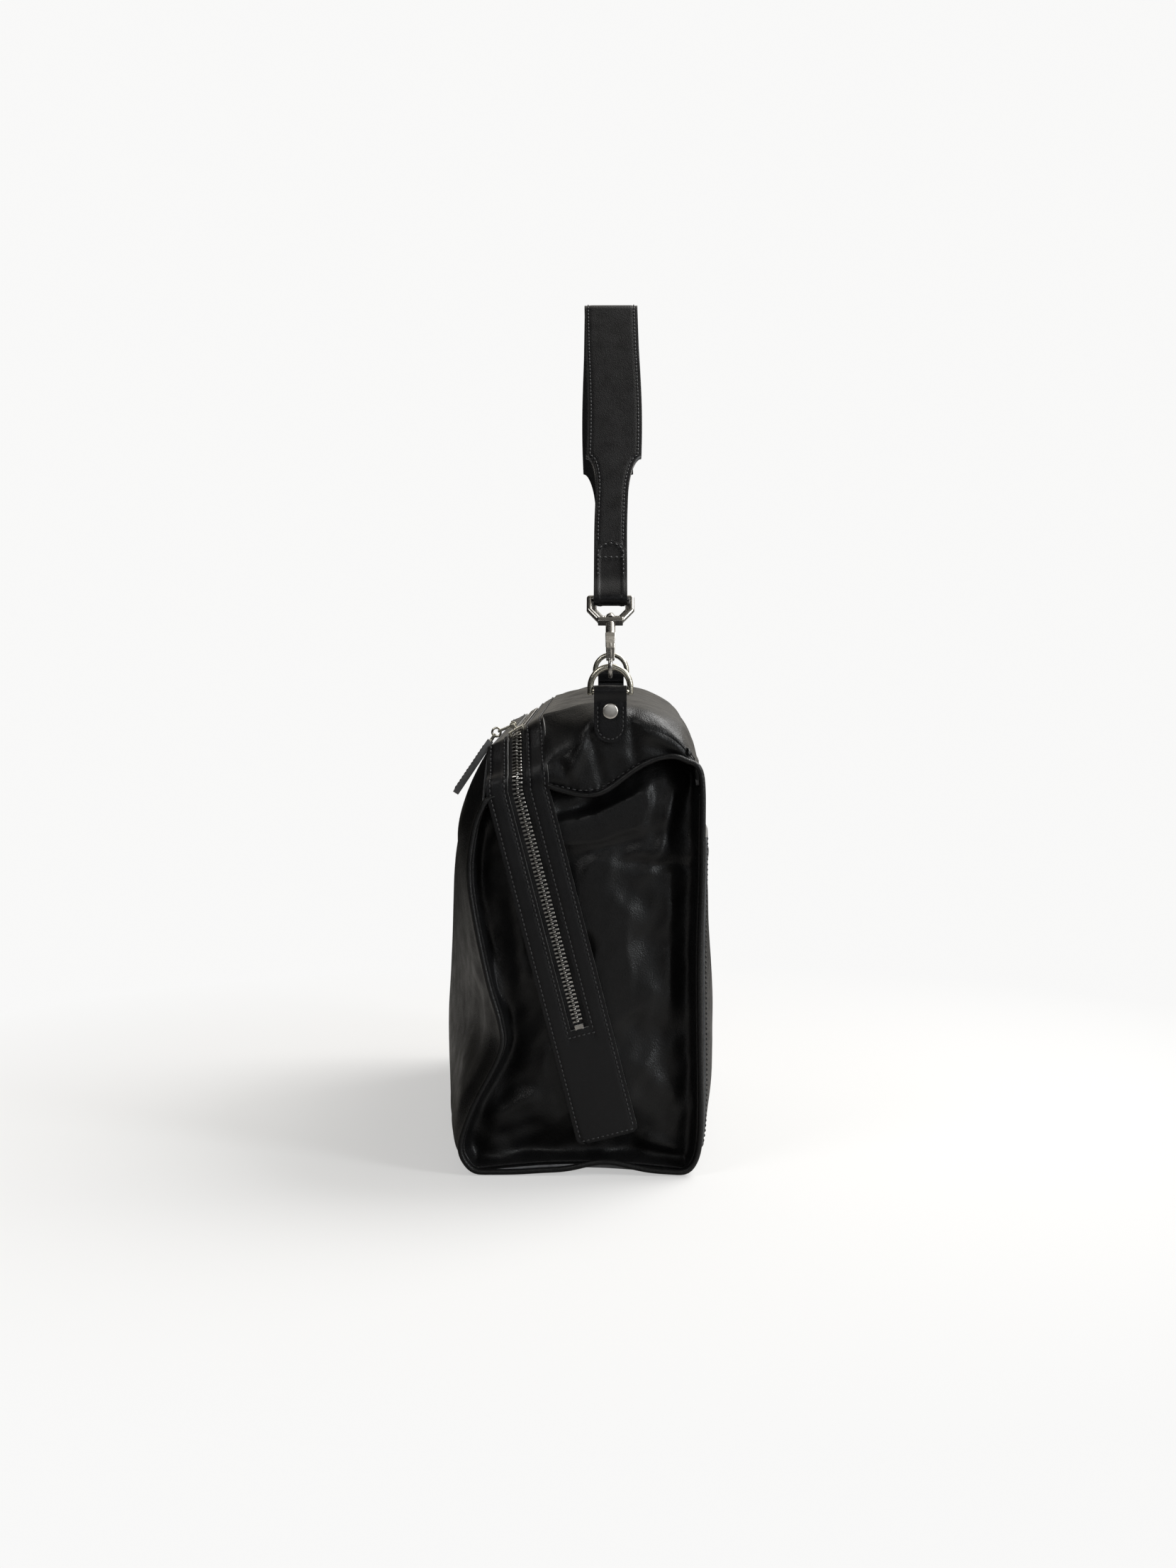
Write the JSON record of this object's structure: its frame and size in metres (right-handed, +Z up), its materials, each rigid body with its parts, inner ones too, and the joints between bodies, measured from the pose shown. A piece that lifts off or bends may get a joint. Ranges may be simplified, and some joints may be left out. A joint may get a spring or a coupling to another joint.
{
  "type": "leather shoulder bag",
  "caption": "Soft leather zip-top bag with recessed ends, a zip facing that runs over the top and down both ends, D-rings and a short clip-on shoulder strap.",
  "frame": {"origin": "on the floor under the middle of the line through both D-rings", "axes": "+X along the bag's length towards the near end, -Y towards the front with the zip, +Z up"},
  "size_m": [0.3686, 0.1738, 0.5323],
  "materials": {
    "black_leather": "satin pebbled grain",
    "painted_edge": "smooth matt",
    "gunmetal": "polished gunmetal",
    "nickel": "polished nickel",
    "zip_tape": "woven herringbone",
    "lining_cloth": "twill",
    "board": "matt"
  },
  "bodies": {
    "bag": {"front_panel": "black_leather", "back_panel": "black_leather", "top_panel": "black_leather", "base_panel": "black_leather", "back_pocket": "black_leather", "end_gusset_near": "black_leather", "end_gusset_far": "black_leather", "end_flap_near": "black_leather", "end_flap_far": "black_leather", "rim_near": "black_leather", "rim_far": "black_leather", "zip_band_front": "black_leather", "zip_band_back": "black_leather", "zip_tail_near": "black_leather", "zip_tail_far": "black_leather", "ring_tab_near": "black_leather", "ring_tab_far": "black_leather", "zip_chain_front": "gunmetal", "zip_chain_back": "gunmetal", "zip_stop_near": "gunmetal", "zip_stop_far": "gunmetal", "tab_rivet_near": "nickel", "tab_rivet_far": "nickel", "zip_tape_front": "zip_tape", "zip_tape_back": "zip_tape", "lining": "lining_cloth", "base_board": "board"},
    "slider": {"slider": "gunmetal"},
    "pull": {"pull_link": "gunmetal", "pull_ring": "gunmetal"},
    "pull_tab": {"pull_tab": "black_leather"},
    "d_ring_near": {"d_ring_near": "gunmetal"},
    "d_ring_far": {"d_ring_far": "gunmetal"},
    "strap": {"shoulder_strap": "black_leather", "strap_lining": "painted_edge", "swivel_loop_near": "gunmetal", "swivel_loop_far": "gunmetal"},
    "hook_near": {"hook_near": "gunmetal", "gate_pin_near": "nickel"},
    "hook_far": {"hook_far": "gunmetal", "gate_pin_far": "nickel"},
    "gate_near": {"hook_gate_near": "gunmetal"},
    "gate_far": {"hook_gate_far": "gunmetal"}
  },
  "joints": [
    {"name": "slider_slide", "type": "slide", "parent": "bag", "child": "slider", "axis": [-1, 0, 0], "range_m": [0, 0.286]},
    {"name": "pull_swing", "type": "hinge", "parent": "slider", "child": "pull", "pos_m": [0.143, -0.05816, 0.2656], "axis": [-1, 0, 0], "range_deg": [0, 100]},
    {"name": "pull_tab_swing", "type": "hinge", "parent": "pull", "child": "pull_tab", "pos_m": [0.143, -0.06824, 0.2612], "axis": [-1, 0, 0], "range_deg": [0, 70]},
    {"name": "d_ring_near_tilt", "type": "hinge", "parent": "bag", "child": "d_ring_near", "pos_m": [0.1775, 0, 0.287], "axis": [0, 1, 0], "range_deg": [-6, 6]},
    {"name": "d_ring_far_tilt", "type": "hinge", "parent": "bag", "child": "d_ring_far", "pos_m": [-0.1775, 0, 0.287], "axis": [0, 1, 0], "range_deg": [-6, 6]},
    {"name": "strap_fold", "type": "hinge", "parent": "bag", "child": "strap", "pos_m": [0, 0, 0.2896], "axis": [-1, 0, 0], "range_deg": [-55, 55]},
    {"name": "hook_near_swivel", "type": "hinge", "parent": "strap", "child": "hook_near", "pos_m": [0.1775, 0, 0.3012], "axis": [-0.6, 0, 0.8], "range_deg": [-20, 20]},
    {"name": "hook_far_swivel", "type": "hinge", "parent": "strap", "child": "hook_far", "pos_m": [-0.1775, 0, 0.3012], "axis": [0.6, 0, 0.8], "range_deg": [-20, 20]},
    {"name": "gate_near_press", "type": "hinge", "parent": "hook_near", "child": "gate_near", "pos_m": [0.1619, 0, 0.315], "axis": [0, -1, 0], "range_deg": [0, 25], "stiffness_Nm_per_rad": 0.01, "springref_deg": -22.92},
    {"name": "gate_far_press", "type": "hinge", "parent": "hook_far", "child": "gate_far", "pos_m": [-0.1619, 0, 0.315], "axis": [0, 1, 0], "range_deg": [0, 25], "stiffness_Nm_per_rad": 0.01, "springref_deg": -22.92}
  ]
}
